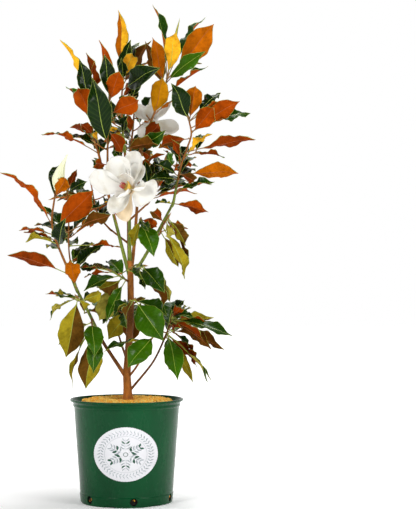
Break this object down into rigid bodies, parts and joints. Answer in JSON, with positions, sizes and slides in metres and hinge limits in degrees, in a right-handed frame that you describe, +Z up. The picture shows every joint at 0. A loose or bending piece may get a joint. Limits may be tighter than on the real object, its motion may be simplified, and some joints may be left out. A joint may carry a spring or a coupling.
{
  "type": "potted magnolia tree",
  "caption": "Young evergreen magnolia tree in a round nursery pot, with leafy boughs, a large open white flower and a pale bud.",
  "frame": {"origin": "centre of the pot's flat underside", "axes": "+Z up along the pot's axis, -Y towards the front that the picture shows, +X to the right in that view"},
  "size_m": [0.6287, 0.4182, 1.2575],
  "materials": {
    "pot_plastic": "dark green moulded plastic, satin",
    "label": "plain printed oval, off-white",
    "mulch": "loose golden bark granules",
    "bark": "smooth young bark",
    "leaves": "glossy dark green above, rusty felt below",
    "petals": "waxy white"
  },
  "bodies": {
    "root": {"pot": "pot_plastic", "pot_label": "label", "potting_mix": "mulch", "trunk": "bark", "bough_left_low": "bark", "spur_left_inner": "bark", "spur_left_hanging": "bark", "spur_left_under": "bark", "bough_right_low": "bark", "bough_front_low": "bark", "bough_back_low": "bark", "bough_left": "bark", "spur_left_top": "bark", "bough_centre": "bark", "spur_flower": "bark", "bough_centre_right": "bark", "spur_centre_low": "bark", "spur_upper_flower": "bark", "bough_right": "bark", "spur_right_hanging": "bark", "bough_back": "bark", "spur_back_left": "bark", "spur_back_right": "bark", "leaves_left_outer": "leaves", "leaves_left_inner": "leaves", "leaves_left_hanging": "leaves", "leaves_left_under": "leaves", "leaves_right_low": "leaves", "leaves_front_low": "leaves", "leaves_trunk_front": "leaves", "leaves_trunk_back": "leaves", "leaves_back_low": "leaves", "leaves_fork_left": "leaves", "leaves_fork_right": "leaves", "leaves_left_top": "leaves", "leaves_left_front": "leaves", "leaves_centre_top": "leaves", "leaves_centre_low": "leaves", "leaves_right_top": "leaves", "leaves_right_upper": "leaves", "leaves_right_hanging": "leaves", "leaves_back_top": "leaves", "leaves_back_left": "leaves", "leaves_back_right": "leaves", "flower_open": "petals", "flower_upper": "petals", "bud": "petals"}
  },
  "joints": []
}
